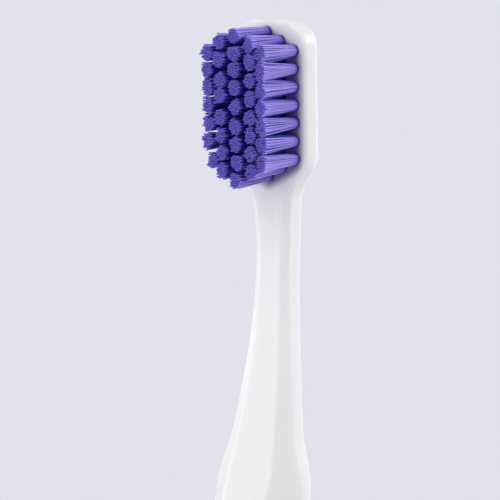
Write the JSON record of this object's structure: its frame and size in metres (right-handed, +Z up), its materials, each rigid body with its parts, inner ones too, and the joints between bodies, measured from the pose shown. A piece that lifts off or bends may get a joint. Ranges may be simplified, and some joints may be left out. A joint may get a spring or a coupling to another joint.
{
  "type": "toothbrush",
  "caption": "Manual toothbrush with a slim octagonal handle, a forward-leaning rounded head and a flat-trimmed field of close-set bristle tufts.",
  "frame": {"origin": "centre of the flat end of the butt, on the grip's own axis", "axes": "+Z up along the straight grip from the butt to the head, -Y out of the side that the bristles stand on, +X to the right seen from the bristle side"},
  "size_m": [0.0132, 0.0209, 0.1856],
  "materials": {
    "handle_plastic": "smooth white moulded polypropylene, softly glossy",
    "bristle_filament": "violet nylon filaments with rounded, paler ends",
    "anchor_metal": "flat drawn nickel-brass wire, cut to plates"
  },
  "bodies": {
    "root": {"handle": "handle_plastic", "anchor_wires": "anchor_metal", "tuft_left_1": "bristle_filament", "tuft_left_2": "bristle_filament", "tuft_left_3": "bristle_filament", "tuft_left_4": "bristle_filament", "tuft_left_5": "bristle_filament", "tuft_left_6": "bristle_filament", "tuft_left_7": "bristle_filament", "tuft_inner_left_1": "bristle_filament", "tuft_inner_left_2": "bristle_filament", "tuft_inner_left_3": "bristle_filament", "tuft_inner_left_4": "bristle_filament", "tuft_inner_left_5": "bristle_filament", "tuft_inner_left_6": "bristle_filament", "tuft_inner_left_7": "bristle_filament", "tuft_inner_left_8": "bristle_filament", "tuft_middle_1": "bristle_filament", "tuft_middle_2": "bristle_filament", "tuft_middle_3": "bristle_filament", "tuft_middle_4": "bristle_filament", "tuft_middle_5": "bristle_filament", "tuft_middle_6": "bristle_filament", "tuft_middle_7": "bristle_filament", "tuft_middle_8": "bristle_filament", "tuft_middle_9": "bristle_filament", "tuft_inner_right_1": "bristle_filament", "tuft_inner_right_2": "bristle_filament", "tuft_inner_right_3": "bristle_filament", "tuft_inner_right_4": "bristle_filament", "tuft_inner_right_5": "bristle_filament", "tuft_inner_right_6": "bristle_filament", "tuft_inner_right_7": "bristle_filament", "tuft_inner_right_8": "bristle_filament", "tuft_right_1": "bristle_filament", "tuft_right_2": "bristle_filament", "tuft_right_3": "bristle_filament", "tuft_right_4": "bristle_filament", "tuft_right_5": "bristle_filament", "tuft_right_6": "bristle_filament", "tuft_right_7": "bristle_filament"}
  },
  "joints": []
}
